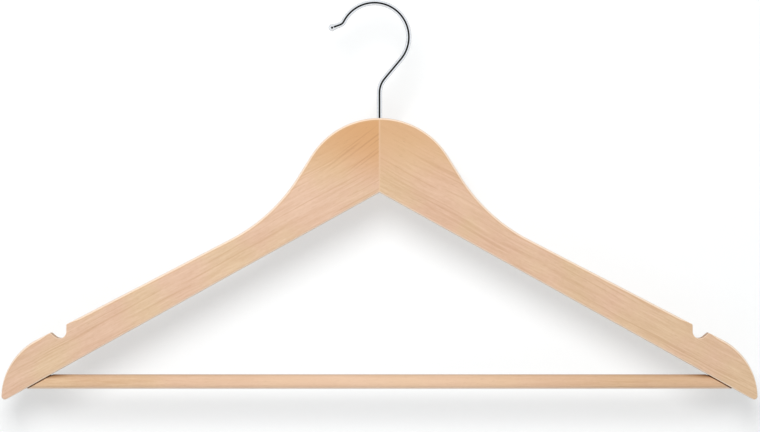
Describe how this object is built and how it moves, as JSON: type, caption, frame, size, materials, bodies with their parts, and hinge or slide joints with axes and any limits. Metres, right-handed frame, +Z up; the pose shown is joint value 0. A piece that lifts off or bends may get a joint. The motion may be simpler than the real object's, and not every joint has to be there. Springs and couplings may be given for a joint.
{
  "type": "clothes hanger",
  "caption": "Flat wooden clothes hanger with two glued arms, strap notches, a round trouser bar and a swivelling wire hook with a bead tip.",
  "frame": {"origin": "on the hook's swivel axis, where it meets the inner side of the bowl that hangs on the rail", "axes": "+X along the hanger's width, away from the hook's open side; +Y through the thickness, from the front face to the back face; +Z up"},
  "size_m": [0.445, 0.012, 0.2353],
  "materials": {
    "left_wood": "clear satin lacquer on pale natural wood, warmer half",
    "right_wood": "clear satin lacquer on pale natural wood, paler half",
    "bar_wood": "clear satin lacquer on pale natural wood",
    "brad_steel": "plain bright steel",
    "sleeve_steel": "turned, zinc plated",
    "hook_chrome": "polished chrome plate"
  },
  "bodies": {
    "wood_frame": {"left_arm": "left_wood", "right_arm": "right_wood", "trouser_bar": "bar_wood", "bar_brad_left": "brad_steel", "bar_brad_right": "brad_steel", "hook_sleeve": "sleeve_steel"},
    "hook": {"hook_wire": "hook_chrome", "hook_bead": "hook_chrome"}
  },
  "joints": [
    {"name": "hook_swivel", "type": "hinge", "parent": "wood_frame", "child": "hook", "pos_m": [0, 0, -0.0664], "axis": [0, 0, 1], "continuous": true}
  ]
}
